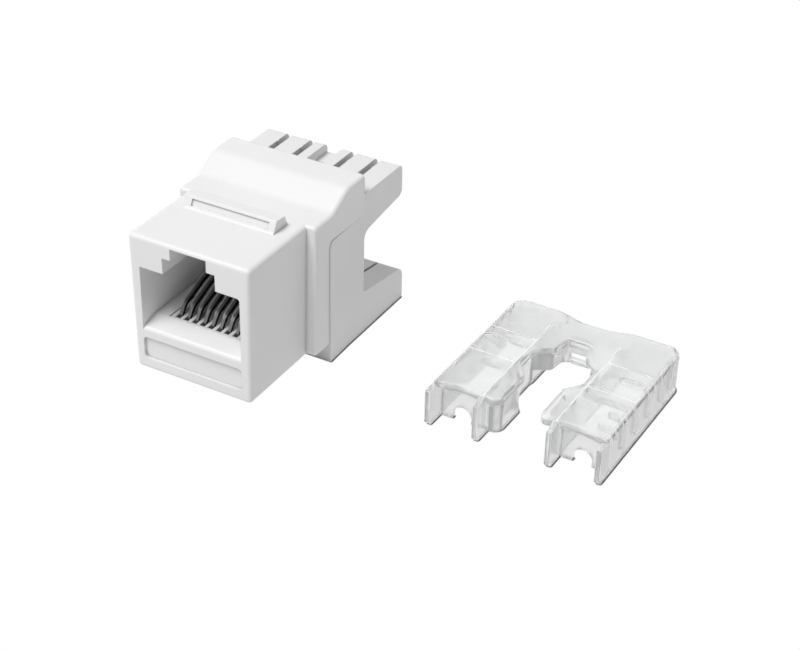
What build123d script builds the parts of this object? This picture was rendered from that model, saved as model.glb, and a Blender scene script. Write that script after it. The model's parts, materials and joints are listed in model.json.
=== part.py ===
from build123d import *
from math import copysign, cos, radians, sin
import os

# Keystone jack for an eight-wire modular plug, with its clear wire cap lying beside it.
# X runs to the right as seen from the front, Y to the rear and Z up, all in millimetres.
# The origin is the centre of the front face, which is also the centre of the panel opening.
# Heights are given above the underside of the socket block, which is called the sill.

os.makedirs("parts", exist_ok=True)

# Socket block, which shows in the panel
face_width = 14.6
face_draft = 0.12
face_height = 16.16
block_depth = 10.6
block_round = 0.5
block_front_round = 0.45
sill = -face_height / 2
crown = face_height / 2

# Shoulder and hood behind the block
shoulder_step = 1.25
shoulder_lift = 0.3
shoulder_round = 0.35
shoulder_foot_round = 0.5
seam_y = 13.3
hood_end = 20.5
hood_rise = 1.74
hood_slope_start = 13.95
hood_slope_end = 17.15
hood_bend_round = 1.8
hood_round = 0.45
skirt_height = 13.15
skirt_round = 0.8
skirt_wall = 1.25

# Catch ridge on top of the block
ridge_width = 11.1
ridge_front = 7.3
ridge_back = 9.94
ridge_rise = 1.27
ridge_front_lean = 0.62
ridge_back_lean = 0.5
ridge_round = 0.12
ridge_foot_round = 0.45
ridge_panel_depth = 0.2
ridge_panel_margin = 0.8
ridge_panel_foot = 0.3
ridge_panel_edge = 0.16

# Flexible latch in the underside of the block
latch_width = 7.4
latch_slit = 0.6
latch_thickness = 1.0
latch_travel = 1.4
latch_root = 2.4
latch_end = 12.9
latch_hook_front = 7.4
latch_hook_flat = 1.5
latch_hook_ramp = 1.3
latch_hook_lean = 0.2
latch_pad_drop = 0.55

# Socket for the plug
port_wall = 1.175
port_floor = 5.75
port_shoulder = 12.5
port_depth = 11.3
port_lip_drop = 0.6
port_lip_depth = 2.25
port_lip_round = 0.5
port_corner_round = 0.35
notch_width = 6.44
notch_height = 14.37
notch_top_width = 4.4
notch_top_height = 15.72

# Plain label recess below the socket
label_margin = 1.15
label_bottom = 1.4
label_top = 4.0
label_depth = 0.32
label_round = 0.5

# Circuit board behind the socket
board_thickness = 1.0
board_margin = 1.55
board_bottom = 3.0
board_top = 15.2
board_clearance = 0.1
pin_hole_radius = 0.38
pin_hole_sides = 16

# Contact carrier with its comb
tongue_width = 8.7
tongue_clearance = 0.13
tongue_front = 2.4
tongue_bottom = 3.2
guide_top = 9.55
comb_front = 2.6
comb_end = 6.4
comb_bottom = 3.85
comb_slot = 0.62
guide_slot = 0.8
guide_slot_bottom = 7.7
guide_slot_top = 9.0

# Spring contacts, shaped as bent ribbons
contact_count = 8
contact_pitch = 1.016
contact_thickness = 0.28
contact_width = 0.66
contact_tip_width = 0.3
contact_pin_width = 0.4
contact_taper_start = 3.1
contact_taper_end = 4.85
contact_root_height = 8.48
contact_bend_y = 7.9
contact_bend_height = 8.28
contact_knee_y = 4.1
contact_knee_height = 6.82
contact_tip_y = 3.25
contact_tip_height = 5.66
contact_bend_round = 6.0
contact_knee_round = 1.1

# Rear block with its two slotted arms
base_drop = 1.8
upper_arm_end = 28.7
upper_arm_top = 15.55
upper_arm_root = 10.86
upper_arm_tip = 11.88
lower_arm_end = 29.2
lower_arm_root = 3.3
lower_arm_tip = 2.1
gap_round = 0.55
gap_upper_round = 1.2
upper_tip_round = 0.75
lower_tip_round = 1.2
base_round = 0.25
tongue_seat_clearance = 0.05
panel_rise = 0.1
panel_fade_y = 17.4
chamber_wall = 1.45
chamber_end = 17.5
chamber_top = 14.35

# Wire slots between the teeth of both arms
slot_edge = 2.78
slot_pitch = 3.1
slot_width = 0.74
slot_start_y = 22.0
slit_width = 0.3
upper_slot_floor = 12.3
lower_slot_roof = 1.5
slot_nub_y = 26.3
slot_nub_length = 0.25
slot_nub_rise = 0.07
middle_gap_width = 2.2
middle_gap_floor = 14.4
middle_gap_step_y = 26.3
middle_gap_step_floor = 14.0

# Forked terminals in the arms
fork_thickness = 0.4
fork_width = 2.2
fork_end = 26.8
fork_start = 18.2
fork_slit = 0.3
fork_slit_start = 22.6
fork_mouth = 0.9
fork_mouth_depth = 0.9
fork_neck_start = 17.3
fork_pin_width = 0.55
fork_clearance = 0.04
upper_fork_height = 13.4
lower_fork_height = 0.4
lower_pin_height = 3.9
crank_front_y = 14.8
crank_back_y = 16.7
crank_round = 0.6
pin_inset = 0.05

# Wire cap, flat on the table to the right of the jack
cap_x = 32.86
cap_y = 8.36
cap_turn = -0.8
cap_width = 19.9
cap_length = 20.6
cap_height = 4.88
cap_plate = 0.85
cap_wall = 0.6
cap_rear_wall = 0.7
cap_plate_front = 1.3
cap_bow = 0.55
cap_bow_land = 0.675
cap_front = 2.5
cap_prong_height = 4.36
cap_prong_round = 0.6
cap_prong_middle = 4.13
cap_throat = 2.2
cap_throat_end = 7.1
cap_waist = 3.6
cap_waist_run = 1.9
cap_nook = 1.4
cap_nook_flare = 0.4
cap_nook_run = 1.1
cap_nook_depth = 2.35
cap_bridge = 4.85
cap_rear_dip = 0.85
cap_rear_dip_half = 1.5
cap_rear_dip_run = 2.8
cap_skin_inset = 0.4
cap_corner_round = 1.6
cap_front_round = 1.2
cap_nook_round = 0.7
cap_waist_round = 1.3
cap_throat_round = 0.4
cap_dip_round = 3.5
cap_edge_round = 0.25
cap_rim_round = 0.6
cap_bridge_lift = 1.6
cap_arch_radius = 1.1
cap_arch_height = 0.6
cap_rib = 0.4
cap_rib_depth = 0.9
cap_long_ribs = (6.2, 11.2)
cap_short_ribs = (1.0, 3.6)
cap_short_rib_length = 1.7
cap_side_ribs = (2.0, 4.5, 7.9, 11.2, 14.2)
cap_side_rib = 0.5
cap_side_rib_rise = 0.25
cap_side_rib_bottom = 1.0
cap_mark_length = 2.9
cap_mark_width = 1.3
cap_mark_depth = 0.12
cap_mark_u = 8.0
cap_mark_step = 9.0
tie_slot_width = 2.5
tie_slot_lower = (2.1, 2.95)
tie_slot_upper = (3.95, 4.6)
tie_slot_depth = 1.2

# Places that follow from the sizes above
table = sill - base_drop
hood_top = crown + hood_rise
shoulder_width = face_width + 2 * shoulder_step
port_width = face_width - 2 * port_wall
label_width = face_width - 2 * label_margin
board_width = shoulder_width - 2 * board_margin
board_front = seam_y - board_thickness
channel_width = tongue_width + 2 * tongue_clearance
slot_far = shoulder_width / 2 - slot_edge
slot_near = slot_far - slot_pitch
slot_centres = (-slot_far, -slot_near, slot_near, slot_far)
contact_centres = [(number - (contact_count - 1) / 2) * contact_pitch for number in range(contact_count)]


def above_sill(height):
    """Z of a height that is measured from the block's underside."""
    return sill + height


def block_between(x_range, y_range, z_range, mode=Mode.ADD, frame=Plane.XY):
    """A plain block between the given limits of a frame, for straight cuts and walls."""
    ranges = (x_range, y_range, z_range)
    middle = [(low + high) / 2 for low, high in ranges]
    size = [high - low for low, high in ranges]
    with Locations(frame.location * Location(tuple(middle))):
        Box(*size, mode=mode)


def corners_near(sketch, *points):
    """The sketch's corners that lie nearest to the points."""
    return [sketch.vertices().sort_by_distance(point)[0] for point in points]


def save(piece, name):
    """Label a finished piece and write it."""
    piece.part.label = name
    export_step(piece.part, f"parts/{name}.step")


# Front housing: socket block, shoulder, hood, catch ridge and latch in one moulding
with BuildPart() as front_housing:
    with BuildSketch(Plane.YZ) as hood_side:
        with BuildLine():
            Polyline(
                (block_depth, above_sill(shoulder_lift)),
                (seam_y, above_sill(shoulder_lift)),
                (seam_y, above_sill(skirt_height)),
                (hood_end, above_sill(skirt_height)),
                (hood_end, hood_top),
                (hood_slope_end, hood_top),
                (hood_slope_start, crown),
                (block_depth, crown),
                close=True,
            )
        make_face()
        hood_bends = corners_near(hood_side, (hood_slope_end, hood_top), (hood_slope_start, crown))
        fillet(hood_bends, hood_bend_round)
        fillet(corners_near(hood_side, (seam_y, above_sill(skirt_height))), skirt_round)
    extrude(amount=shoulder_width / 2, both=True)

    # Rounded feet, top edges and front rim of the shoulder
    shoulder_foot = front_housing.edges().filter_by(Axis.Y).group_by(Axis.Z)[0]
    fillet(shoulder_foot.filter_by(lambda edge: edge.length > hood_round), shoulder_foot_round)
    side_reach = shoulder_width / 2 - hood_round
    hood_sides = front_housing.edges().filter_by(lambda edge: abs(edge.center().X) > side_reach)
    fillet(hood_sides.filter_by(lambda edge: edge.center().Z > crown - hood_round), hood_round)
    shoulder_front = front_housing.faces().sort_by(Axis.Y)[0]
    fillet(shoulder_front.edges().sort_by(Axis.Z)[1:], shoulder_round)

    # Socket block, a little wider at the crown, carried back through the shoulder
    with BuildSketch(Plane.XZ) as face_outline:
        with BuildLine():
            Polyline(
                (-face_width / 2 + face_draft, sill),
                (face_width / 2 - face_draft, sill),
                (face_width / 2 + face_draft, crown),
                (-face_width / 2 - face_draft, crown),
                close=True,
            )
        make_face()
        fillet(face_outline.vertices(), block_round)
    extrude(amount=-(block_depth + shoulder_round))
    fillet(front_housing.faces().sort_by(Axis.Y)[0].edges(), block_front_round)

    # Catch ridge on top, which hooks behind the panel
    with BuildSketch(Plane.YZ) as ridge_side:
        with BuildLine():
            Polyline(
                (ridge_front - ridge_foot_round, crown - block_round),
                (ridge_front - ridge_foot_round, crown),
                (ridge_front, crown),
                (ridge_front + ridge_front_lean, crown + ridge_rise),
                (ridge_back - ridge_back_lean, crown + ridge_rise - ridge_round),
                (ridge_back, crown),
                (ridge_back, crown - block_round),
                close=True,
            )
        make_face()
        fillet(
            corners_near(
                ridge_side,
                (ridge_front + ridge_front_lean, crown + ridge_rise),
                (ridge_back - ridge_back_lean, crown + ridge_rise - ridge_round),
            ),
            ridge_round,
        )
        fillet(corners_near(ridge_side, (ridge_front, crown)), ridge_foot_round)
    extrude(amount=ridge_width / 2, both=True)

    # Shallow panel in the front of the ridge
    panel_feet = (crown + ridge_panel_foot, crown + ridge_rise - ridge_panel_edge - ridge_round)
    panel_low, panel_high = [
        (ridge_front + ridge_front_lean * (height - crown) / ridge_rise, height) for height in panel_feet
    ]
    with BuildSketch(Plane.YZ):
        with BuildLine():
            Polyline(
                (panel_low[0] - ridge_panel_depth, panel_low[1]),
                (panel_low[0] + ridge_panel_depth, panel_low[1]),
                (panel_high[0] + ridge_panel_depth, panel_high[1]),
                (panel_high[0] - ridge_panel_depth, panel_high[1]),
                close=True,
            )
        make_face()
    extrude(amount=ridge_width / 2 - ridge_panel_margin, both=True, mode=Mode.SUBTRACT)

    # Socket for the plug, with the stepped notch for its tab
    with BuildSketch(Plane.XZ) as port_outline:
        with Locations((0, above_sill((port_floor + port_shoulder) / 2))):
            Rectangle(port_width, port_shoulder - port_floor)
        fillet(corners_near(port_outline, (port_width / 2, above_sill(port_shoulder))), port_corner_round)
        with Locations((0, above_sill((port_floor + notch_height) / 2))):
            Rectangle(notch_width, notch_height - port_floor)
        with Locations((0, above_sill((port_floor + notch_top_height) / 2))):
            Rectangle(notch_top_width, notch_top_height - port_floor)
    extrude(amount=-port_depth, mode=Mode.SUBTRACT)

    # Sloping lip that leads the plug in
    lip_foot = above_sill(port_floor) - port_lip_drop
    with BuildSketch(Plane.YZ):
        with BuildLine():
            Polyline(
                (0, lip_foot),
                (port_lip_depth, above_sill(port_floor)),
                (0, above_sill(port_floor)),
                close=True,
            )
        make_face()
    extrude(amount=port_width / 2, both=True, mode=Mode.SUBTRACT)
    lip = front_housing.edges().filter_by(Axis.X).sort_by_distance((0, 0, lip_foot))[0]
    fillet(lip, port_lip_round)

    # Channel for the contact carrier, and the window that its upright fills
    channel = (-channel_width / 2, channel_width / 2)
    block_between(
        channel,
        (tongue_front, board_front),
        (above_sill(tongue_bottom), above_sill(port_floor)),
        Mode.SUBTRACT,
    )
    block_between(
        channel,
        (port_depth, board_front),
        (above_sill(tongue_bottom), above_sill(guide_top) + tongue_seat_clearance),
        Mode.SUBTRACT,
    )

    # Pocket for the circuit board, open to the rear
    board_half = board_width / 2 + board_clearance
    block_between(
        (-board_half, board_half),
        (board_front, seam_y),
        (above_sill(board_bottom) - board_clearance, above_sill(board_top) + board_clearance),
        Mode.SUBTRACT,
    )

    # Seat under the hood for the rear block's upper part
    seat_half = shoulder_width / 2 - skirt_wall
    block_between(
        (-seat_half, seat_half),
        (seam_y, hood_end),
        (above_sill(skirt_height), above_sill(upper_arm_top) + tongue_seat_clearance),
        Mode.SUBTRACT,
    )

    # Label recess on the front face
    with BuildSketch(Plane.XZ):
        with Locations((0, above_sill((label_bottom + label_top) / 2))):
            RectangleRounded(label_width, label_top - label_bottom, label_round)
    extrude(amount=-label_depth, mode=Mode.SUBTRACT)

    # Room round the flexible latch, then the latch itself with its hook and release pad
    room_half = latch_width / 2 + latch_slit
    room_roof = above_sill(latch_thickness + latch_travel)
    block_between((-room_half, room_half), (latch_root, seam_y), (table, room_roof), Mode.SUBTRACT)
    with BuildSketch(Plane.YZ) as latch_side:
        with BuildLine():
            Polyline(
                (latch_root - latch_thickness, sill),
                (latch_hook_front, sill),
                (latch_hook_front + latch_hook_lean, table),
                (latch_hook_front + latch_hook_flat, table),
                (latch_hook_front + latch_hook_flat + latch_hook_ramp, sill - latch_pad_drop),
                (latch_end, sill - latch_pad_drop),
                (latch_end, above_sill(latch_thickness) - latch_pad_drop),
                (latch_hook_front + latch_hook_flat + latch_hook_ramp, above_sill(latch_thickness)),
                (latch_root - latch_thickness, above_sill(latch_thickness)),
                close=True,
            )
        make_face()
    extrude(amount=latch_width / 2, both=True)

save(front_housing, "front_housing")

# Contact carrier: a comb under the contact tips, a tongue and an upright guide plate
with BuildPart() as contact_carrier:
    block_between(
        (-tongue_width / 2, tongue_width / 2),
        (tongue_front, board_front),
        (above_sill(tongue_bottom), above_sill(port_floor)),
    )
    block_between(
        (-tongue_width / 2, tongue_width / 2),
        (port_depth, board_front),
        (above_sill(port_floor), above_sill(guide_top)),
    )
    for centre in contact_centres:
        block_between(
            (centre - comb_slot / 2, centre + comb_slot / 2),
            (comb_front, comb_end),
            (above_sill(comb_bottom), above_sill(port_floor)),
            Mode.SUBTRACT,
        )
        block_between(
            (centre - guide_slot / 2, centre + guide_slot / 2),
            (port_depth, board_front),
            (above_sill(guide_slot_bottom), above_sill(guide_slot_top)),
            Mode.SUBTRACT,
        )

save(contact_carrier, "contact_carrier")

# Circuit board with holes for the contacts and for the terminals' pins
with BuildPart() as circuit_board:
    block_between(
        (-board_width / 2, board_width / 2),
        (board_front, seam_y),
        (above_sill(board_bottom), above_sill(board_top)),
    )
    with BuildSketch(Plane.XZ.offset(-board_front)):
        with Locations([(centre, above_sill(contact_root_height)) for centre in contact_centres]):
            RegularPolygon(pin_hole_radius, pin_hole_sides)
        for height in (upper_fork_height, lower_pin_height):
            with Locations([(centre, above_sill(height)) for centre in slot_centres]):
                RegularPolygon(pin_hole_radius, pin_hole_sides)
    extrude(amount=-board_thickness, mode=Mode.SUBTRACT)

save(circuit_board, "circuit_board")


def spring_contact(centre):
    """One ribbon, bent from its pin in the board down to its tip in the comb."""
    with BuildPart() as contact:
        with BuildSketch(Plane.YZ):
            with BuildLine():
                FilletPolyline(
                    (seam_y, above_sill(contact_root_height)),
                    (contact_bend_y, above_sill(contact_bend_height)),
                    (contact_knee_y, above_sill(contact_knee_height)),
                    (contact_tip_y, above_sill(contact_tip_height)),
                    radius=[contact_bend_round, contact_knee_round],
                )
            trace(line_width=contact_thickness)
        extrude(amount=contact_width / 2, both=True)
        with BuildSketch(Plane.XY.offset(sill)):
            with BuildLine():
                Polyline(
                    (0, 0),
                    (contact_tip_width / 2, 0),
                    (contact_tip_width / 2, contact_taper_start),
                    (contact_width / 2, contact_taper_end),
                    (contact_width / 2, port_depth),
                    (contact_pin_width / 2, board_front),
                    (contact_pin_width / 2, hood_end),
                    (0, hood_end),
                )
                mirror(about=Plane.YZ)
            make_face()
        extrude(amount=face_height, mode=Mode.INTERSECT)
    contact.part.position = (centre, 0, 0)
    return contact


for number, centre in enumerate(contact_centres, start=1):
    save(spring_contact(centre), f"contact_{number}")


# Rear block: one moulding with the upper and lower arms, round the gap for the cable
with BuildPart() as rear_block:
    with BuildSketch(Plane.YZ) as rear_side:
        with BuildLine():
            Polyline(
                (seam_y, table),
                (lower_arm_end, table),
                (lower_arm_end, above_sill(lower_arm_tip)),
                (hood_end, above_sill(lower_arm_root)),
                (hood_end, above_sill(upper_arm_root)),
                (upper_arm_end, above_sill(upper_arm_tip)),
                (upper_arm_end, above_sill(upper_arm_top)),
                (hood_end, above_sill(upper_arm_top)),
                (hood_end, above_sill(skirt_height)),
                (seam_y, above_sill(skirt_height)),
                close=True,
            )
        make_face()
        fillet(corners_near(rear_side, (hood_end, above_sill(lower_arm_root))), gap_round)
        fillet(corners_near(rear_side, (hood_end, above_sill(upper_arm_root))), gap_upper_round)
        fillet(corners_near(rear_side, (lower_arm_end, above_sill(lower_arm_tip))), lower_tip_round)
        fillet(corners_near(rear_side, (lower_arm_end, table)), base_round)
        fillet(
            corners_near(
                rear_side,
                (upper_arm_end, above_sill(upper_arm_tip)),
                (upper_arm_end, above_sill(upper_arm_top)),
            ),
            upper_tip_round,
        )
        fillet(corners_near(rear_side, (seam_y, above_sill(skirt_height))), skirt_round)
    extrude(amount=shoulder_width / 2 + panel_rise, both=True)

    # Side panels stand proud at the seam and fade out to the rear
    arm_reach = lower_arm_end + slot_width
    with BuildSketch(Plane.XY.offset(table)):
        with BuildLine():
            Polyline(
                (shoulder_width / 2 + panel_rise, seam_y),
                (shoulder_width / 2, panel_fade_y),
                (shoulder_width / 2, arm_reach),
                (shoulder_width / 2 + skirt_wall, arm_reach),
                (shoulder_width / 2 + skirt_wall, seam_y),
                close=True,
            )
        make_face()
        mirror(about=Plane.YZ)
    extrude(amount=hood_top - table, mode=Mode.SUBTRACT)

    # Upper part that the hood covers
    tongue_half = shoulder_width / 2 - skirt_wall - tongue_seat_clearance
    block_between(
        (-tongue_half, tongue_half),
        (seam_y, hood_end),
        (above_sill(skirt_height), above_sill(upper_arm_top)),
    )

    # Chamber behind the board, for the terminals' pins
    chamber_half = shoulder_width / 2 - chamber_wall
    block_between(
        (-chamber_half, chamber_half),
        (seam_y, chamber_end),
        (table + chamber_wall, above_sill(chamber_top)),
        Mode.SUBTRACT,
    )

    # Wire slots, open to the rear and outwards, with a thin slit on through each arm
    above_arm = above_sill(upper_arm_top + slot_width)
    below_arm = table - slot_width
    slot_run = (slot_start_y, arm_reach)
    for centre in slot_centres:
        slot = (centre - slot_width / 2, centre + slot_width / 2)
        slit = (centre - slit_width / 2, centre + slit_width / 2)
        block_between(slot, slot_run, (above_sill(upper_slot_floor), above_arm), Mode.SUBTRACT)
        block_between(slot, slot_run, (below_arm, above_sill(lower_slot_roof)), Mode.SUBTRACT)
        block_between(slit, slot_run, (below_arm, above_arm), Mode.SUBTRACT)

        # Small nub on the outer wall of each upper slot
        outer_wall = copysign(abs(centre) + slot_width / 2, centre)
        nub = sorted((outer_wall, outer_wall - copysign(slot_nub_rise, centre)))
        nub_run = (slot_nub_y - slot_nub_length / 2, slot_nub_y + slot_nub_length / 2)
        block_between(nub, nub_run, (above_sill(upper_fork_height), above_sill(upper_arm_top)))

    # Shallow gap in the middle of the upper arm, with a step in its floor
    middle = (-middle_gap_width / 2, middle_gap_width / 2)
    block_between(middle, (hood_end, arm_reach), (above_sill(middle_gap_floor), above_arm), Mode.SUBTRACT)
    step_run = (hood_end, middle_gap_step_y)
    block_between(middle, step_run, (above_sill(middle_gap_step_floor), above_arm), Mode.SUBTRACT)

    # Pockets for the forked terminals
    for height in (upper_fork_height, lower_fork_height):
        for centre in slot_centres:
            block_between(
                (centre - fork_width / 2 - fork_clearance, centre + fork_width / 2 + fork_clearance),
                (chamber_end, fork_end + fork_clearance),
                (
                    above_sill(height) - fork_thickness / 2 - fork_clearance,
                    above_sill(height) + fork_thickness / 2 + fork_clearance,
                ),
                Mode.SUBTRACT,
            )

save(rear_block, "rear_block")


def forked_terminal(centre, fork_height, pin_height):
    """A flat fork that bites the wire, with a pin that reaches the board."""
    with BuildPart() as terminal:
        pin_tip = board_front + pin_inset
        with BuildSketch(Plane.YZ):
            with BuildLine():
                if pin_height == fork_height:
                    Line((pin_tip, above_sill(fork_height)), (fork_end, above_sill(fork_height)))
                else:
                    FilletPolyline(
                        (pin_tip, above_sill(pin_height)),
                        (crank_front_y, above_sill(pin_height)),
                        (crank_back_y, above_sill(fork_height)),
                        (fork_end, above_sill(fork_height)),
                        radius=crank_round,
                    )
            trace(line_width=fork_thickness)
        extrude(amount=fork_width / 2, both=True)
        with BuildSketch(Plane.XY.offset(table)):
            with BuildLine():
                Polyline(
                    (0, board_front),
                    (fork_pin_width / 2, board_front),
                    (fork_pin_width / 2, fork_neck_start),
                    (fork_width / 2, fork_start),
                    (fork_width / 2, fork_end),
                    (fork_mouth / 2, fork_end),
                    (fork_slit / 2, fork_end - fork_mouth_depth),
                    (fork_slit / 2, fork_slit_start),
                    (0, fork_slit_start),
                )
                mirror(about=Plane.YZ)
            make_face()
        extrude(amount=face_height + base_drop, mode=Mode.INTERSECT)
    terminal.part.position = (centre, 0, 0)
    return terminal


for number, centre in enumerate(slot_centres, start=1):
    save(forked_terminal(centre, upper_fork_height, upper_fork_height), f"upper_terminal_{number}")
    save(forked_terminal(centre, lower_fork_height, lower_pin_height), f"lower_terminal_{number}")


# Wire cap: a clear moulding whose two troughs press the wires into both arms
cap_frame = Plane(
    origin=(cap_x, cap_y, table),
    x_dir=(cos(radians(cap_turn)), sin(radians(cap_turn)), 0),
    z_dir=(0, 0, 1),
)
cap_side = cap_width / 2
cap_bow_half = (cap_side - cap_throat) / 2 - cap_bow_land
cap_underside = cap_height - cap_plate
trough_inner = cap_prong_middle + cap_wall / 2
trough_outer = cap_side - cap_wall
trough_front = cap_front + cap_wall
trough_rear = cap_length - cap_rear_wall
wing_inner = cap_prong_middle - cap_wall / 2
prong_rim = cap_height - cap_rim_round
bridge_rear = cap_length - cap_rear_dip - cap_rear_wall
cap_nook_end = cap_length - cap_bridge
cap_nook_start = cap_nook_end - cap_nook_depth
cap_waist_end = cap_nook_start - cap_nook_run
cap_waist_start = cap_throat_end + cap_waist_run


def cap_outline(front, skin):
    """Outline of the cap in plan from a given front edge, with the throat's side set in by a skin."""
    throat = cap_throat + skin
    waist = cap_waist + skin
    nook = cap_nook + skin
    return FilletPolyline(
        (0, cap_nook_end + skin),
        (nook, cap_nook_end + skin),
        (nook + cap_nook_flare, cap_nook_start + skin),
        (waist, cap_waist_end + skin),
        (waist, cap_waist_start),
        (throat, cap_throat_end),
        (throat, front),
        (cap_side, front),
        (cap_side, cap_length),
        (cap_rear_dip_half + cap_rear_dip_run, cap_length),
        (cap_rear_dip_half, cap_length - cap_rear_dip),
        (0, cap_length - cap_rear_dip),
        radius=[
            cap_nook_round,
            cap_nook_round,
            cap_waist_round,
            cap_waist_round,
            cap_throat_round,
            cap_front_round,
            0,
            cap_corner_round,
            cap_dip_round,
            cap_dip_round,
        ],
    )


def on_outer_rim(edge):
    """Whether an edge of the cap's plate runs along the outer sides or the rear."""
    place = cap_frame.to_local_coords(edge.center())
    return place.Y > cap_nook_end + cap_wall or abs(place.X) > cap_side - cap_edge_round


def cap_layer(height, front, skin, amount):
    """One layer of the cap's outline, raised from a height above the table."""
    with BuildSketch(cap_frame.offset(height)) as layer:
        with BuildLine():
            cap_outline(front, skin)
            mirror(about=Plane.YZ)
        make_face()
    extrude(layer.sketch, amount=amount)


with BuildPart() as wire_cap:
    # Plate on top with a softened rim, then the walls that stand under it
    cap_layer(cap_underside, cap_plate_front, 0, cap_plate)
    bow_radius = (cap_bow_half**2 + cap_bow**2) / (2 * cap_bow)
    bow_place = cap_plate_front + cap_bow - bow_radius
    for side in (-1, 1):
        bow_middle = (side * (cap_throat + cap_side) / 2, bow_place, cap_plate)
        with Locations(cap_frame.offset(cap_underside).location * Location(bow_middle)):
            Cylinder(bow_radius, 2 * cap_plate, mode=Mode.SUBTRACT)
    plate_top = wire_cap.faces().sort_by(Axis.Z)[-1]
    fillet(plate_top.edges().filter_by(lambda edge: not on_outer_rim(edge)), cap_edge_round)
    plate_top = wire_cap.faces().sort_by(Axis.Z)[-1]
    fillet(plate_top.edges().filter_by(on_outer_rim), cap_rim_round)
    cap_layer(0, cap_front, cap_skin_inset, cap_underside)

    # Underside of the bridge, lifted clear of the cable
    block_between(
        (-wing_inner, wing_inner),
        (cap_waist_start, cap_length + cap_wall),
        (-cap_wall, cap_bridge_lift),
        Mode.SUBTRACT,
        cap_frame,
    )

    # Hollow inside the bridge, and the slots for a cable tie in its front wall
    bridge_front = cap_nook_end + cap_skin_inset + cap_wall
    block_between(
        (-wing_inner, wing_inner),
        (bridge_front, bridge_rear),
        (0, cap_underside),
        Mode.SUBTRACT,
        cap_frame,
    )
    tie_half = tie_slot_width / 2
    for low, high in (tie_slot_lower, tie_slot_upper):
        block_between(
            (-tie_half, tie_half),
            (cap_nook_end - cap_wall, cap_nook_end + tie_slot_depth),
            (low, high),
            Mode.SUBTRACT,
            cap_frame,
        )

    hollow = (-cap_wall, cap_underside)
    rib_range = (cap_underside - cap_rib_depth, cap_underside)
    for side in (-1, 1):
        # Trough that takes one arm, open at the front only through its arch
        trough = sorted((side * trough_inner, side * trough_outer))
        block_between(trough, (trough_front, trough_rear), hollow, Mode.SUBTRACT, cap_frame)

        # Hollow between the trough's wall and the throat's wall
        wing = sorted((side * wing_inner, side * (cap_throat + cap_skin_inset + cap_wall)))
        wing_run = (cap_front + cap_front_round, cap_throat_end)
        block_between(wing, wing_run, hollow, Mode.SUBTRACT, cap_frame)

        # Ribs that press the wires home
        for place in [trough_rear - step for step in cap_long_ribs]:
            rib_run = (place - cap_rib / 2, place + cap_rib / 2)
            block_between(trough, rib_run, rib_range, Mode.ADD, cap_frame)
        short = sorted((side * trough_outer, side * (trough_outer - cap_short_rib_length)))
        for place in [trough_front + step for step in cap_short_ribs]:
            rib_run = (place - cap_rib / 2, place + cap_rib / 2)
            block_between(short, rib_run, rib_range, Mode.ADD, cap_frame)

        # Upright ribs inside the outer wall
        upright = sorted((side * trough_outer, side * (trough_outer - cap_side_rib_rise)))
        for place in [trough_rear - step for step in cap_side_ribs]:
            rib_run = (place - cap_side_rib / 2, place + cap_side_rib / 2)
            block_between(upright, rib_run, (cap_side_rib_bottom, cap_underside), Mode.ADD, cap_frame)

        # Prongs that carry both walls of the trough forward, the outer ones under the rounded rim
        inner_prong = (side * cap_prong_middle, cap_height - cap_edge_round / 2, cap_prong_height)
        outer_prong = (side * (cap_side - cap_wall / 2), prong_rim, prong_rim)
        for prong_u, root_height, tip_height in (inner_prong, outer_prong):
            prong_plane = Plane(
                origin=cap_frame.from_local_coords(Vector(prong_u, 0, 0)),
                x_dir=cap_frame.y_dir,
                z_dir=cap_frame.x_dir,
            )
            with BuildSketch(prong_plane) as prong_side:
                with BuildLine():
                    Polyline(
                        (0, 0),
                        (trough_front, 0),
                        (trough_front, cap_underside),
                        (cap_plate_front + cap_edge_round, root_height),
                        (0, tip_height),
                        close=True,
                    )
                make_face()
                fillet(corners_near(prong_side, (0, 0)), cap_prong_round)
            extrude(amount=cap_wall / 2, both=True)

        # Arch at the foot of the front wall
        arch_middle = Vector(side * (trough_inner + trough_outer) / 2, trough_front, 0)
        arch_plane = Plane(
            origin=cap_frame.from_local_coords(arch_middle),
            x_dir=cap_frame.x_dir,
            z_dir=-cap_frame.y_dir,
        )
        with BuildSketch(arch_plane):
            with Locations((0, cap_arch_height)):
                Circle(cap_arch_radius)
            Rectangle(2 * cap_arch_radius, 2 * cap_arch_height)
        extrude(amount=cap_wall, mode=Mode.SUBTRACT)

        # Shallow gate mark on the plate
        with BuildSketch(cap_frame.offset(cap_height)):
            with Locations((side * cap_mark_u, cap_length - cap_mark_step)):
                SlotOverall(cap_mark_length, cap_mark_width)
        extrude(amount=-cap_mark_depth, mode=Mode.SUBTRACT)

save(wire_cap, "wire_cap")
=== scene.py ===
import json
from math import cos, radians, sin

import bpy
from mathutils import Matrix, Vector

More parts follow.
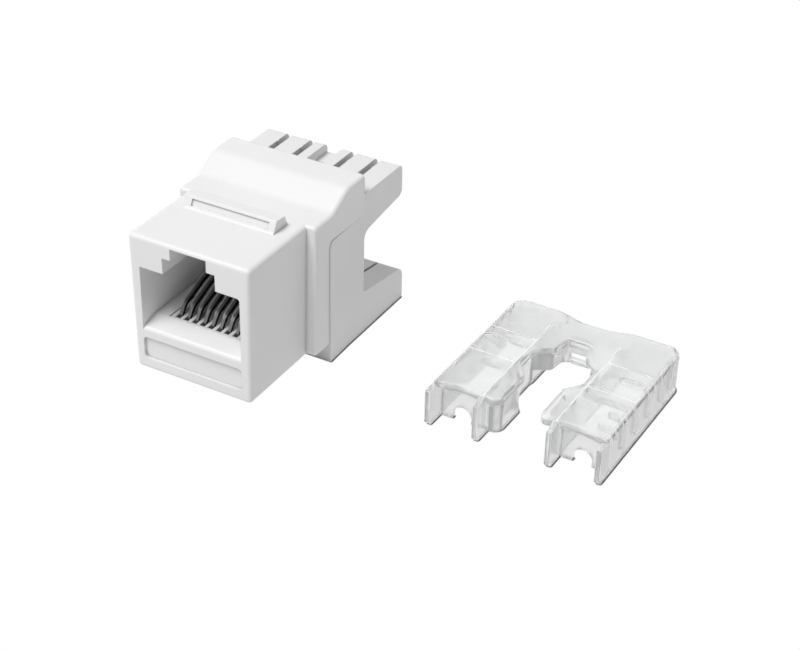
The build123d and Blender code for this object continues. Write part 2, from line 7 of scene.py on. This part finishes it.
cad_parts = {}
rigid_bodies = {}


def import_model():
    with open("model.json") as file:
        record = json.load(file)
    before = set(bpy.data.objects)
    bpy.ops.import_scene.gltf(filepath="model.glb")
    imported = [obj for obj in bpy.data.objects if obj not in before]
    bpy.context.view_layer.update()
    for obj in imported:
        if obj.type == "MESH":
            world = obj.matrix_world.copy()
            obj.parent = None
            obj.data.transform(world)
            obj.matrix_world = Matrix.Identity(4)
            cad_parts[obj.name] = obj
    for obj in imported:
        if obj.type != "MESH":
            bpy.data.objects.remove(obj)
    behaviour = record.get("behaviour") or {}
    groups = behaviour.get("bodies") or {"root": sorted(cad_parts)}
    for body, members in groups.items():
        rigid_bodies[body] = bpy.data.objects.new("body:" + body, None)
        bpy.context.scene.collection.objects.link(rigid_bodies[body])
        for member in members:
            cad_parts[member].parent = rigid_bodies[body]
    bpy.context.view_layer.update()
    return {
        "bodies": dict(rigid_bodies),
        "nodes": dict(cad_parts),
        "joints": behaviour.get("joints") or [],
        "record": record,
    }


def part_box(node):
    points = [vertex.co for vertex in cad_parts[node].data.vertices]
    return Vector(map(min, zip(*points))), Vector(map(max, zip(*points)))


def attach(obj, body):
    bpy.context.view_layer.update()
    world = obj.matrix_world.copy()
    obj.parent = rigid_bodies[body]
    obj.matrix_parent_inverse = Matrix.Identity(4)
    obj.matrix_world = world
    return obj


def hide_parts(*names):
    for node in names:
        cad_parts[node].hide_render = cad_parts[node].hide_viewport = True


# Dressing of the jack and its cap: materials, floor, light and camera, all in metres.

MM = 0.001

# Camera, as solved from the photograph: where it stands and how it is turned
CAMERA_PLACE = Vector((0.093762, -0.126493, 0.100512))
CAMERA_AZIMUTH = radians(28.7215)
CAMERA_ELEVATION = radians(32.8002)
CAMERA_ROLL = radians(1.3910)
CAMERA_LENS = 81.65
CAMERA_SENSOR = 36.0
CAMERA_NEAR = 0.01

# Open pit behind the contacts' comb
PIT_MARGIN = 0.6 * MM
PIT_START = 4.4 * MM
PIT_END = 10.9 * MM
PIT_FLOOR = 0.25 * MM
PIT_TOP = -2.3 * MM

# White plastics: darker and lighter tone, roughness and edge softness of each
WHITE_PLASTICS = {
    "housing_white": (0.80, 0.845, 0.36, 0.10 * MM),
    "rear_white": (0.77, 0.81, 0.40, 0.08 * MM),
    "carrier_white": (0.76, 0.80, 0.42, 0.05 * MM),
}
PLASTIC_FLOW = 0.09
PLASTIC_GRAIN = 7.0
PLASTIC_GRAIN_ROUGHNESS = 0.6
PLASTIC_GRAIN_BUMP = 0.10
PLASTIC_GRAIN_DEPTH = 0.02 * MM
PLASTIC_SHEEN_SPREAD = 0.05
PLASTIC_IOR = 1.5
PLASTIC_GLOW = 0.08
PLASTIC_GLOW_RADIUS = (0.9, 0.8, 0.7)
PLASTIC_GLOW_SCALE = 0.6 * MM

# Painted shade in slots, seams and inner corners
NARROW_REACH = 1.0 * MM
NARROW_LOW = 0.15
NARROW_HIGH = 0.70
NARROW_SHADE_TONE = 0.30
NARROW_SAMPLES = 8

# Wire cap's own frame: its origin and turn, and the height and half width of the plate
CAP_PLACE = (32.86 * MM, 8.36 * MM, -9.88 * MM)
CAP_TURN = radians(-0.8)
CAP_HEIGHT = 4.88 * MM
CAP_SIDE = 9.95 * MM
CAP_SKIN_DEPTH = 0.1 * MM

# Wire cap's painted highlight lines, as the middle and reach of each run in its own frame
CAP_LINE = 0.07 * MM
CAP_RIBS = (8.7 * MM, 13.7 * MM)
CAP_RIB_RUN = (6.9 * MM, 2.6 * MM)
CAP_INNER = 4.13 * MM
CAP_INNER_RUN = (9.0 * MM, 8.2 * MM)
CAP_OUTER = 9.66 * MM
CAP_UPRIGHTS = (5.7 * MM, 8.7 * MM, 12.0 * MM, 15.4 * MM, 17.9 * MM)
CAP_UPRIGHT = 0.25 * MM
CAP_UPRIGHT_RUN = (2.6 * MM, 1.7 * MM)
CAP_RIM = 0.14 * MM
CAP_RIM_SAMPLES = 8
CAP_RIM_TURN = (0.80, 0.99)

# Wire cap's plastic: tones, with the painted highlight of its lines and the painted shade of its
# side walls, how much light goes through, and its surface
CAP_BODY = 0.90
CAP_BODY_COLOUR = (CAP_BODY, CAP_BODY * 1.003, CAP_BODY * 1.006, 1.0)
CAP_SIDE_SHADE = 0.73
CAP_HIGHLIGHT_TONE = 0.96
CAP_CLEAR = 0.73
CAP_HIGHLIGHT_CLEAR = 0.10
CAP_IOR = 1.19
CAP_HAZE = 1.4
CAP_ROUGHNESS = (0.0, 0.04)
CAP_RIPPLE = 0.35
CAP_RIPPLE_BUMP = 0.12
CAP_RIPPLE_DEPTH = 0.05 * MM
CAP_SOFTNESS = 0.06 * MM

# Metals: darker and lighter colour, roughness and edge softness of each
CONTACT_METAL = ((0.11, 0.11, 0.11, 1.0), (0.17, 0.17, 0.17, 1.0), 0.45, 0.05 * MM)
TERMINAL_METAL = ((0.42, 0.42, 0.43, 1.0), (0.60, 0.60, 0.61, 1.0), 0.30, 0.04 * MM)
METAL_MARKS = 14.0
METAL_MARKS_STRETCH = (1.0, 0.08, 0.3)
METAL_SHEEN_SPREAD = (-0.06, 0.08)
METAL_BUMP = 0.15
METAL_DEPTH = 0.01 * MM

# Contacts' painted highlight on the left edge and painted shade on the right edge: middle and reach
# of each in parts of the width, and its tone
RIBBON_HIGHLIGHT_AND_SHADE = ((0.08, 0.12, 0.55), (0.90, 0.17, 0.01))

# Circuit board
BOARD_WEAVE = 2.2
BOARD_COLOURS = {
    "Color1": (0.02, 0.16, 0.06, 1.0),
    "Color2": (0.03, 0.21, 0.08, 1.0),
    "Mortar": (0.02, 0.12, 0.05, 1.0),
}
BOARD_ROUGHNESS = 0.3
BOARD_COAT = 0.4

# Noise: the part of its range that it fills, and its detail
NOISE_LOW = 0.25
NOISE_HIGH = 0.75
NOISE_DETAIL = 3.0
RIPPLE_DETAIL = 1.0

# Soft edges
EDGE_SAMPLES = 6

# Floor and the painted shadow line where something stands on it, on the side away from the key lamp
FLOOR_HALF = 0.9
FLOOR_GAP = 0.02 * MM
SHADE_REACH = 0.26 * MM
SHADE_TILT = (-0.9, -0.25, 0.3)
SHADE_LOW = 0.60
SHADE_HIGH = 0.86
SHADE_TONE = 0.04
SHADE_SAMPLES = 16
FLOOR_THROUGH = 0.96

# Light that the floor sends up, which is less under the object
FLOOR_BOUNCE = 0.77
BOUNCE_REACH = 4.0 * MM
BOUNCE_LOW = 0.45
BOUNCE_HIGH = 0.75
BOUNCE_SAMPLES = 4

# Light
WHITE = (1.0, 1.0, 1.0, 1.0)
SKY = 0.30
LAMP_AIM = Vector((0.012, 0.012, 0.0))
KEY_PLACE = Vector((-0.162, -0.311, 0.70))
KEY_SIZE = 0.42
KEY_POWER = 5.15
RIM_PLACE = Vector((0.25, 0.55, 0.40))
RIM_SIZE = 0.35
RIM_POWER = 0.3


def new_material(name):
    """A node material with a Principled shader; returns it with its nodes, links and shader."""
    material = bpy.data.materials.new(name)
    material.use_nodes = True
    tree = material.node_tree
    return material, tree.nodes, tree.links, tree.nodes["Principled BSDF"]


def place_in(nodes, kind):
    """Where a point of the surface lies, in one kind of texture coordinate."""
    return nodes.new("ShaderNodeTexCoord").outputs[kind]


def parts_of(nodes, links, vector):
    """The three parts of a vector, by the names X, Y and Z."""
    split = nodes.new("ShaderNodeSeparateXYZ")
    links.new(vector, split.inputs["Vector"])
    return split.outputs


def scaled(nodes, links, value, start, end):
    """Maps a value from one range to another and keeps it within the second."""
    ramp = nodes.new("ShaderNodeMapRange")
    ramp.inputs["From Min"].default_value, ramp.inputs["From Max"].default_value = start
    ramp.inputs["To Min"].default_value, ramp.inputs["To Max"].default_value = end
    links.new(value, ramp.inputs["Value"])
    return ramp.outputs["Result"]


def spread(nodes, links, value, low, high):
    """Maps the middle of a value's range, which is the part that noise fills, to another range."""
    return scaled(nodes, links, value, (NOISE_LOW, NOISE_HIGH), (low, high))


def noise(nodes, links, scale, detail, roughness=0.5):
    """Noise in the object's own space, with its scale given per millimetre."""
    texture = nodes.new("ShaderNodeTexNoise")
    texture.inputs["Scale"].default_value = scale / MM
    texture.inputs["Detail"].default_value = detail
    texture.inputs["Roughness"].default_value = roughness
    links.new(place_in(nodes, "Object"), texture.inputs["Vector"])
    return texture.outputs["Fac"]


def grey(tone):
    """A neutral colour."""
    return (tone, tone, tone, 1.0)


def blend(nodes, links, factor, first, second):
    """Mixes two colours by a factor; each is a fixed colour or the output of a node."""
    mix = nodes.new("ShaderNodeMix")
    mix.data_type = "RGBA"
    links.new(factor, mix.inputs["Factor"])
    for name, colour in (("A", first), ("B", second)):
        if isinstance(colour, tuple):
            mix.inputs[name].default_value = colour
        else:
            links.new(colour, mix.inputs[name])
    return mix.outputs["Result"]


def combine(nodes, links, operation, *values):
    """Joins several values one after the other by one operation."""
    total = values[0]
    for value in values[1:]:
        step = nodes.new("ShaderNodeMath")
        step.operation = operation
        links.new(total, step.inputs[0])
        links.new(value, step.inputs[1])
        total = step.outputs["Value"]
    return total


def within(nodes, links, value, middle, reach):
    """One where a value lies within reach of a middle, nothing elsewhere."""
    near = nodes.new("ShaderNodeMath")
    near.operation = "COMPARE"
    near.inputs[1].default_value = middle
    near.inputs[2].default_value = reach
    links.new(value, near.inputs[0])
    return near.outputs["Value"]


def openness(nodes, samples, reach):
    """How open a point is to its surroundings within reach; returns the node."""
    touch = nodes.new("ShaderNodeAmbientOcclusion")
    touch.samples = samples
    touch.inputs["Distance"].default_value = reach
    return touch


def rounded(nodes, samples, radius):
    """The surface's direction with its edges rounded over."""
    bevel = nodes.new("ShaderNodeBevel")
    bevel.samples = samples
    bevel.inputs["Radius"].default_value = radius
    return bevel.outputs["Normal"]


def soft_edges(nodes, links, shader, radius, grain, strength, depth):
    """Softens the edges that catch the light, with a fine grain on top."""
    bump = nodes.new("ShaderNodeBump")
    bump.inputs["Strength"].default_value = strength
    bump.inputs["Distance"].default_value = depth
    links.new(grain, bump.inputs["Height"])
    links.new(rounded(nodes, EDGE_SAMPLES, radius), bump.inputs["Normal"])
    links.new(bump.outputs["Normal"], shader.inputs["Normal"])


def painted_crevice_shade(nodes, links, tone):
    """Painted shade: darkens a colour in slots, seams and inner corners."""
    touch = openness(nodes, NARROW_SAMPLES, NARROW_REACH)
    depth = scaled(nodes, links, touch.outputs["AO"], (NARROW_LOW, NARROW_HIGH), (0.0, 1.0))
    return blend(nodes, links, depth, grey(NARROW_SHADE_TONE), tone)


def moulded_plastic(name, dark, light, roughness, edge):
    """White moulded plastic: a satin skin with faint flow marks and a very fine grain, with painted
    shade in its slots, seams and inner corners.
    """
    material, nodes, links, shader = new_material(name)
    flow = noise(nodes, links, PLASTIC_FLOW, NOISE_DETAIL)
    grain = noise(nodes, links, PLASTIC_GRAIN, NOISE_DETAIL, PLASTIC_GRAIN_ROUGHNESS)
    tone = blend(nodes, links, flow, grey(dark), grey(light))
    # Painted shade: the colour is darkened in slots, seams and inner corners
    links.new(painted_crevice_shade(nodes, links, tone), shader.inputs["Base Color"])
    low, high = roughness - PLASTIC_SHEEN_SPREAD, roughness + PLASTIC_SHEEN_SPREAD
    links.new(spread(nodes, links, grain, low, high), shader.inputs["Roughness"])
    shader.inputs["IOR"].default_value = PLASTIC_IOR
    shader.inputs["Subsurface Weight"].default_value = PLASTIC_GLOW
    shader.inputs["Subsurface Radius"].default_value = PLASTIC_GLOW_RADIUS
    shader.inputs["Subsurface Scale"].default_value = PLASTIC_GLOW_SCALE
    soft_edges(nodes, links, shader, edge, grain, PLASTIC_GRAIN_BUMP, PLASTIC_GRAIN_DEPTH)
    return material


def rim_highlight_mask(nodes, links):
    """One at the cap's sharp edges, where a rounded surface would turn away from the real one; it
    places painted highlight on the rims.
    """
    surface = nodes.new("ShaderNodeNewGeometry")
    turn = nodes.new("ShaderNodeVectorMath")
    turn.operation = "DOT_PRODUCT"
    links.new(rounded(nodes, CAP_RIM_SAMPLES, CAP_RIM), turn.inputs[0])
    links.new(surface.outputs["Normal"], turn.inputs[1])
    return scaled(nodes, links, turn.outputs["Value"], CAP_RIM_TURN, (1.0, 0.0))


def painted_cap_marks(nodes, links):
    """Masks for the cap's painted highlight lines, at edges and ribs, and for the painted shade of
    its outer side walls.
    """
    frame = nodes.new("ShaderNodeMapping")
    frame.vector_type = "TEXTURE"
    frame.inputs["Location"].default_value = CAP_PLACE
    frame.inputs["Rotation"].default_value = (0.0, 0.0, CAP_TURN)
    links.new(place_in(nodes, "Object"), frame.inputs["Vector"])
    own = parts_of(nodes, links, frame.outputs["Vector"])
    across = nodes.new("ShaderNodeMath")
    across.operation = "ABSOLUTE"
    links.new(own["X"], across.inputs[0])
    side, along, up = across.outputs["Value"], own["Y"], own["Z"]

    def near(value, middle, reach):
        return within(nodes, links, value, middle, reach)

    def both(*values):
        return combine(nodes, links, "MULTIPLY", *values)

    def either(*values):
        return combine(nodes, links, "MAXIMUM", *values)

    ribs = both(either(*[near(along, rib, CAP_LINE) for rib in CAP_RIBS]), near(side, *CAP_RIB_RUN))
    inner = both(near(side, CAP_INNER, CAP_LINE), near(along, *CAP_INNER_RUN))
    outer = near(side, CAP_OUTER, CAP_LINE)
    on_plate = both(near(up, CAP_HEIGHT, CAP_SKIN_DEPTH), either(ribs, inner, outer))

    # Painted shade: the outer side walls are given a darker tone
    shaded_sides = near(side, CAP_SIDE, CAP_SKIN_DEPTH)
    uprights = either(*[near(along, rib, CAP_UPRIGHT) for rib in CAP_UPRIGHTS])
    on_side = both(shaded_sides, near(up, *CAP_UPRIGHT_RUN), uprights)
    return either(on_plate, on_side, rim_highlight_mask(nodes, links)), shaded_sides


def clear_plastic(name):
    """Clear plastic, a little milky, with painted highlight lines at its edges and ribs, painted
    shade on its side walls, and a faint ripple from the mould.
    """
    material, nodes, links, shader = new_material(name)
    ripple = noise(nodes, links, CAP_RIPPLE, RIPPLE_DETAIL)
    haze = noise(nodes, links, CAP_HAZE, NOISE_DETAIL)
    highlight_lines, shaded_sides = painted_cap_marks(nodes, links)
    # Painted shade: the side walls are darker than the plates
    wall = blend(nodes, links, shaded_sides, CAP_BODY_COLOUR, grey(CAP_SIDE_SHADE))
    # Painted highlight: edges, ribs and rims are whitened and made less clear
    links.new(blend(nodes, links, highlight_lines, wall, grey(CAP_HIGHLIGHT_TONE)), shader.inputs["Base Color"])
    through = spread(nodes, links, highlight_lines, CAP_CLEAR, CAP_HIGHLIGHT_CLEAR)
    links.new(through, shader.inputs["Transmission Weight"])
    shader.inputs["IOR"].default_value = CAP_IOR
    links.new(spread(nodes, links, haze, *CAP_ROUGHNESS), shader.inputs["Roughness"])
    soft_edges(nodes, links, shader, CAP_SOFTNESS, ripple, CAP_RIPPLE_BUMP, CAP_RIPPLE_DEPTH)
    return material


def plated_metal(name, dark, light, roughness, edge):
    """Plated metal with fine drawing marks along the strip, with its nodes, links and shader."""
    material, nodes, links, shader = new_material(name)
    stretch = nodes.new("ShaderNodeMapping")
    stretch.inputs["Scale"].default_value = METAL_MARKS_STRETCH
    texture = nodes.new("ShaderNodeTexNoise")
    texture.inputs["Scale"].default_value = METAL_MARKS / MM
    texture.inputs["Detail"].default_value = NOISE_DETAIL
    links.new(place_in(nodes, "Object"), stretch.inputs["Vector"])
    links.new(stretch.outputs["Vector"], texture.inputs["Vector"])
    marks = texture.outputs["Fac"]
    links.new(blend(nodes, links, marks, dark, light), shader.inputs["Base Color"])
    low, high = (roughness + step for step in METAL_SHEEN_SPREAD)
    links.new(spread(nodes, links, marks, low, high), shader.inputs["Roughness"])
    shader.inputs["Metallic"].default_value = 1.0
    soft_edges(nodes, links, shader, edge, marks, METAL_BUMP, METAL_DEPTH)
    return material, nodes, links, shader


def ribbon_metal(name):
    """The contacts' dark plated metal, with a painted highlight on the left edge and painted shade
    on the right edge.
    """
    material, nodes, links, shader = plated_metal(name, *CONTACT_METAL)
    across = parts_of(nodes, links, place_in(nodes, "Generated"))["X"]
    colour = shader.inputs["Base Color"].links[0].from_socket
    # Painted highlight on the left edge, painted shade on the right edge
    for middle, reach, tone in RIBBON_HIGHLIGHT_AND_SHADE:
        edge = within(nodes, links, across, middle, reach)
        colour = blend(nodes, links, edge, colour, grey(tone))
    links.new(colour, shader.inputs["Base Color"])
    return material


def board_lacquer(name):
    """Green lacquer over a woven glass board, with the weave just showing."""
    material, nodes, links, shader = new_material(name)
    weave = nodes.new("ShaderNodeTexBrick")
    weave.inputs["Scale"].default_value = BOARD_WEAVE / MM
    for part, colour in BOARD_COLOURS.items():
        weave.inputs[part].default_value = colour
    links.new(place_in(nodes, "Object"), weave.inputs["Vector"])
    links.new(weave.outputs["Color"], shader.inputs["Base Color"])
    shader.inputs["Roughness"].default_value = BOARD_ROUGHNESS
    shader.inputs["Coat Weight"].default_value = BOARD_COAT
    return material


def dress(frame):
    """Gives every node its finish, and opens the contact carrier."""
    finishes = {name: moulded_plastic(name, *look) for name, look in WHITE_PLASTICS.items()}
    finishes["board_green"] = board_lacquer("board_green")
    finishes["contact_metal"] = ribbon_metal("contact_metal")
    finishes["terminal_metal"] = plated_metal("terminal_metal", *TERMINAL_METAL)[0]
    finishes["clear_cap"] = clear_plastic("clear_cap")
    for subpart in frame["record"]["subparts"]:
        node = frame["nodes"][subpart["node"]]
        for place in node.material_slots:
            place.material = finishes[subpart["material_slot"]]
    open_pit(frame)


def block_mesh(name, low, high):
    """A closed block between two corners, to cut with."""
    ends = ((low.x, high.x), (low.y, high.y), (low.z, high.z))
    corners = [(x, y, z) for x in ends[0] for y in ends[1] for z in ends[2]]
    faces = [(0, 1, 3, 2), (4, 6, 7, 5), (0, 4, 5, 1), (2, 3, 7, 6), (0, 2, 6, 4), (1, 5, 7, 3)]
    mesh = bpy.data.meshes.new(name)
    mesh.from_pydata(corners, [], faces)
    return mesh


def open_pit(frame):
    """The contact carrier with the open pit behind its comb, over which the contacts flex."""
    low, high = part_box("contact_carrier")
    pit_low = Vector((low.x + PIT_MARGIN, PIT_START, low.z + PIT_FLOOR))
    pit_high = Vector((high.x - PIT_MARGIN, PIT_END, PIT_TOP))
    cutter = bpy.data.objects.new("pit", block_mesh("pit", pit_low, pit_high))
    carrier = frame["nodes"]["contact_carrier"]
    comb = bpy.data.objects.new("carrier_comb", carrier.data.copy())
    for piece in (cutter, comb):
        bpy.context.scene.collection.objects.link(piece)
    cut = comb.modifiers.new("pit", "BOOLEAN")
    cut.operation = "DIFFERENCE"
    cut.solver = "EXACT"
    cut.object = cutter
    shaped = comb.evaluated_get(bpy.context.evaluated_depsgraph_get())
    finished = bpy.data.meshes.new_from_object(shaped)
    comb.modifiers.clear()
    comb.data = finished
    bpy.data.objects.remove(cutter)
    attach(comb, "housing")
    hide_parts("contact_carrier")


def painted_contact_shadow(nodes, links):
    """Painted shadow: how bright the floor is beside what stands on it, seen towards the key lamp.
    """
    touch = openness(nodes, SHADE_SAMPLES, SHADE_REACH)
    tilt = nodes.new("ShaderNodeCombineXYZ")
    for axis, value in zip("XYZ", SHADE_TILT):
        tilt.inputs[axis].default_value = value
    links.new(tilt.outputs["Vector"], touch.inputs["Normal"])
    return scaled(nodes, links, touch.outputs["AO"], (SHADE_LOW, SHADE_HIGH), (SHADE_TONE, 1.0))


def floor_material():
    """A white floor that stays plain, apart from a thin painted shadow line beside what stands on
    it.
    """
    material = bpy.data.materials.new("floor_white")
    material.use_nodes = True
    nodes, links = material.node_tree.nodes, material.node_tree.links
    nodes.remove(nodes["Principled BSDF"])
    path = nodes.new("ShaderNodeLightPath")
    plain = nodes.new("ShaderNodeMix")
    plain.inputs["A"].default_value = FLOOR_THROUGH
    links.new(path.outputs["Is Camera Ray"], plain.inputs["Factor"])
    links.new(painted_contact_shadow(nodes, links), plain.inputs["B"])
    shown = nodes.new("ShaderNodeEmission")
    links.new(plain.outputs["Result"], shown.inputs["Strength"])
    cover = openness(nodes, BOUNCE_SAMPLES, BOUNCE_REACH).outputs["AO"]
    sent_up = scaled(nodes, links, cover, (BOUNCE_LOW, BOUNCE_HIGH), (0.0, FLOOR_BOUNCE))
    bounce = nodes.new("ShaderNodeEmission")
    links.new(sent_up, bounce.inputs["Strength"])
    mix = nodes.new("ShaderNodeMixShader")
    links.new(path.outputs["Is Diffuse Ray"], mix.inputs["Fac"])
    links.new(shown.outputs["Emission"], mix.inputs[1])
    links.new(bounce.outputs["Emission"], mix.inputs[2])
    links.new(mix.outputs["Shader"], nodes["Material Output"].inputs["Surface"])
    return material


def lay_floor(height):
    """The plain floor, a hair below what rests on it."""
    half, z = FLOOR_HALF, height - FLOOR_GAP
    corners = [(-half, -half, z), (half, -half, z), (half, half, z), (-half, half, z)]
    mesh = bpy.data.meshes.new("floor")
    mesh.from_pydata(corners, [], [(0, 1, 2, 3)])
    floor = bpy.data.objects.new("floor", mesh)
    floor.data.materials.append(floor_material())
    bpy.context.scene.collection.objects.link(floor)


def hang_lamp(name, place, size, power):
    """A soft square lamp that looks at the object."""
    lamp = bpy.data.lights.new(name, "AREA")
    lamp.shape = "SQUARE"
    lamp.size = size
    lamp.energy = power
    holder = bpy.data.objects.new(name, lamp)
    holder.location = place
    holder.rotation_euler = (LAMP_AIM - place).to_track_quat("-Z", "Y").to_euler()
    bpy.context.scene.collection.objects.link(holder)


def light_scene():
    """An even white surround with a soft key from the front left and a weak lamp behind."""
    world = bpy.data.worlds.new("surround")
    bpy.context.scene.world = world
    world.use_nodes = True
    nodes, links = world.node_tree.nodes, world.node_tree.links
    lit = nodes["Background"]
    lit.inputs["Color"].default_value = WHITE
    lit.inputs["Strength"].default_value = SKY
    seen = nodes.new("ShaderNodeBackground")
    seen.inputs["Color"].default_value = WHITE
    seen.inputs["Strength"].default_value = 1.0
    path = nodes.new("ShaderNodeLightPath").outputs
    looks = [path[kind] for kind in ("Is Camera Ray", "Is Transmission Ray", "Is Glossy Ray")]
    mix = nodes.new("ShaderNodeMixShader")
    links.new(combine(nodes, links, "MAXIMUM", *looks), mix.inputs["Fac"])
    links.new(lit.outputs["Background"], mix.inputs[1])
    links.new(seen.outputs["Background"], mix.inputs[2])
    links.new(mix.outputs["Shader"], nodes["World Output"].inputs["Surface"])
    hang_lamp("key", KEY_PLACE, KEY_SIZE, KEY_POWER)
    hang_lamp("rim", RIM_PLACE, RIM_SIZE, RIM_POWER)


def set_camera():
    """The camera at the photograph's place and turn."""
    back = Vector(
        (
            sin(CAMERA_AZIMUTH) * cos(CAMERA_ELEVATION),
            -cos(CAMERA_AZIMUTH) * cos(CAMERA_ELEVATION),
            sin(CAMERA_ELEVATION),
        )
    )
    level = Vector((cos(CAMERA_AZIMUTH), sin(CAMERA_AZIMUTH), 0.0))
    upright = back.cross(level)
    right = cos(CAMERA_ROLL) * level + sin(CAMERA_ROLL) * upright
    up = back.cross(right)
    camera = bpy.data.cameras.new("photo_camera")
    camera.lens = CAMERA_LENS
    camera.sensor_width = CAMERA_SENSOR
    camera.clip_start = CAMERA_NEAR
    holder = bpy.data.objects.new("photo_camera", camera)
    turn = Matrix((right, up, back)).transposed()
    holder.matrix_world = Matrix.Translation(CAMERA_PLACE) @ turn.to_4x4()
    bpy.context.scene.collection.objects.link(holder)
    bpy.context.scene.camera = holder


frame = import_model()
bpy.context.scene.view_settings.view_transform = "Standard"
set_camera()
dress(frame)
lay_floor(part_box("rear_block")[0].z)
light_scene()
